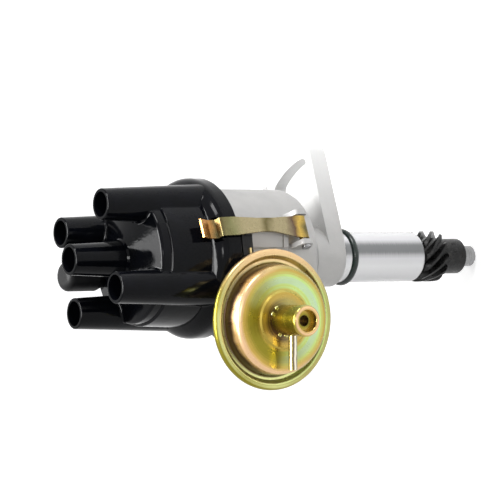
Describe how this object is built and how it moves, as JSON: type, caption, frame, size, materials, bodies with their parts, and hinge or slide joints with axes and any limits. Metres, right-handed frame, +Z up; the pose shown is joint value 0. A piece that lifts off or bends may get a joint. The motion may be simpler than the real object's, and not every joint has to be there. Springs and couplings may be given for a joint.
{
  "type": "ignition distributor",
  "caption": "Ignition distributor with towered cap, spring clips, vacuum advance can, slotted clamp ear, long shank and helical drive gear.",
  "frame": {"origin": "where the shank's axis meets the clamp ear's seating face", "axes": "+Z up the drive shaft towards the cap, +X the way the vacuum can points"},
  "size_m": [0.1195, 0.1164, 0.2379],
  "materials": {
    "cap": "gloss",
    "rubber": "matt",
    "cast": "cast",
    "black_steel": "black oxide",
    "steel": "machined",
    "spring_steel": "bright",
    "zinc_yellow": "yellow zinc plated",
    "bronze": "sintered",
    "brass": "satin",
    "moulding": "satin",
    "carbon": "matt",
    "red_moulding": "satin"
  },
  "bodies": {
    "body_casting": {"housing": "cast", "o_ring": "rubber", "lower_bush": "bronze", "upper_bush": "bronze", "terminal_block": "moulding", "terminal_tab": "brass", "base_plate": "zinc_yellow", "base_plate_screws": "steel", "plate_retainer": "spring_steel", "cap_seal": "rubber", "distributor_cap": "cap", "tower_terminals": "brass", "centre_terminal": "brass", "breather_cap": "rubber", "clip_pins": "steel", "vacuum_bracket": "zinc_yellow", "bracket_screws": "steel", "vacuum_back_shell": "zinc_yellow", "vacuum_cover": "zinc_yellow", "vacuum_nipple": "zinc_yellow", "hose_spigot": "zinc_yellow", "diaphragm": "rubber", "vacuum_spring": "spring_steel", "brush_spring": "spring_steel"},
    "shaft": {"drive_shaft": "steel", "drive_gear": "black_steel", "gear_pin": "black_steel", "thrust_washers": "steel", "governor_plate": "steel", "governor_posts": "steel", "sleeve_screw": "steel", "governor_spring_a": "spring_steel", "governor_spring_b": "spring_steel"},
    "weight_a": {"flyweight_a": "steel"},
    "weight_b": {"flyweight_b": "steel"},
    "advance": {"advance_sleeve": "steel", "signal_rotor": "steel", "rotor_arm": "red_moulding", "rotor_blade": "brass"},
    "pickup": {"pickup_plate": "zinc_yellow", "pickup_coil": "moulding", "pickup_core": "steel", "igniter_module": "moulding", "pickup_screws": "steel"},
    "pull": {"pull_rod": "steel", "diaphragm_cup": "steel"},
    "brush": {"carbon_brush": "carbon"},
    "clip_near": {"cap_clip_near": "zinc_yellow"},
    "clip_far": {"cap_clip_far": "zinc_yellow"}
  },
  "joints": [
    {"name": "shaft_spin", "type": "hinge", "parent": "body_casting", "child": "shaft", "pos_m": [0, 0, 0], "axis": [0, 0, 1], "continuous": true},
    {"name": "spark_advance", "type": "hinge", "parent": "shaft", "child": "advance", "pos_m": [0, 0, 0.046], "axis": [0, 0, 1], "range_deg": [-9.58, 0], "stiffness_Nm_per_rad": 0.05, "deforming": ["governor_spring_a", "governor_spring_b"]},
    {"name": "weight_a_swing", "type": "hinge", "parent": "shaft", "child": "weight_a", "pos_m": [0, 0.016, 0.0416], "axis": [0, 0, 1], "range_deg": [0, 15.3]},
    {"name": "weight_b_swing", "type": "hinge", "parent": "shaft", "child": "weight_b", "pos_m": [0, -0.016, 0.0416], "axis": [0, 0, 1], "range_deg": [0, 15.3]},
    {"name": "vacuum_pull", "type": "slide", "parent": "body_casting", "child": "pull", "axis": [1, 0, 0], "range_m": [0, 0.0039], "stiffness_N_per_m": 600, "springref_m": -0.002, "deforming": ["diaphragm", "vacuum_spring"]},
    {"name": "pickup_turn", "type": "hinge", "parent": "body_casting", "child": "pickup", "pos_m": [0, 0, 0.0648], "axis": [0, 0, 1], "range_deg": [0, 9.14]},
    {"name": "brush_slide", "type": "slide", "parent": "body_casting", "child": "brush", "axis": [0, 0, 1], "range_m": [0, 0.0025], "stiffness_N_per_m": 120, "springref_m": -0.002, "deforming": ["brush_spring"]},
    {"name": "clip_near_hinge", "type": "hinge", "parent": "body_casting", "child": "clip_near", "pos_m": [0.03449, 0.01393, 0.041], "axis": [-0.3746, 0.9272, 0], "range_deg": [0, 105]},
    {"name": "clip_far_hinge", "type": "hinge", "parent": "body_casting", "child": "clip_far", "pos_m": [-0.03449, -0.01393, 0.041], "axis": [0.3746, -0.9272, 0], "range_deg": [0, 105]}
  ],
  "couplings": [
    {"joint": "weight_a_swing", "follows": "spark_advance", "ratio": -1.5664},
    {"joint": "weight_b_swing", "follows": "spark_advance", "ratio": -1.5664},
    {"joint": "pickup_turn", "follows": "vacuum_pull", "rad_per_m": 40}
  ]
}
